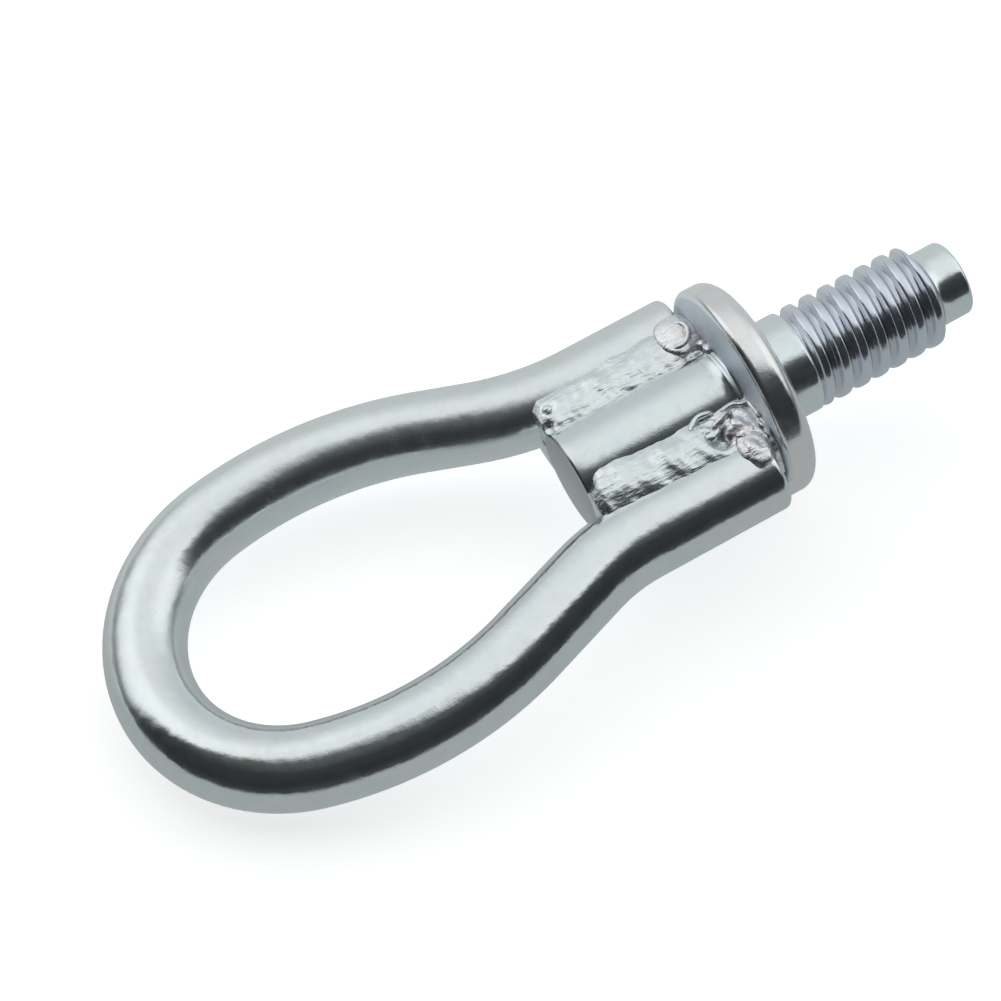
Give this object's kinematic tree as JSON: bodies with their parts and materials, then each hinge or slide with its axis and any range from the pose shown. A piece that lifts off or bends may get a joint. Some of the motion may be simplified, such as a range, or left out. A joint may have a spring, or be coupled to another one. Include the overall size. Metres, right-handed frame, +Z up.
{
  "type": "tow eye",
  "caption": "Screw-in tow eye: a round steel bar bent into a teardrop eye and welded along a turned stud with a collar, a coarse left-hand thread and a pilot nose.",
  "frame": {"origin": "centre of the bounding box in X and Y, at the floor that the part lies on", "axes": "+X runs along the part toward the thread's tip, +Y to the left across the eye, +Z up; the stud's axis rises toward the tip because the part rests on the far end of the eye and the rim of the collar"},
  "size_m": [0.1592, 0.069, 0.0391],
  "materials": {
    "plated_bar": "bright zinc over hot-bent round bar, slightly uneven",
    "plated_stud": "bright zinc over turned steel",
    "plated_weld": "bright zinc over rippled weld beads"
  },
  "bodies": {
    "root": {"eye_loop": "plated_bar", "threaded_stud": "plated_stud", "weld_left_top": "plated_weld", "weld_right_top": "plated_weld", "weld_left_bottom": "plated_weld", "weld_right_bottom": "plated_weld"}
  },
  "joints": []
}
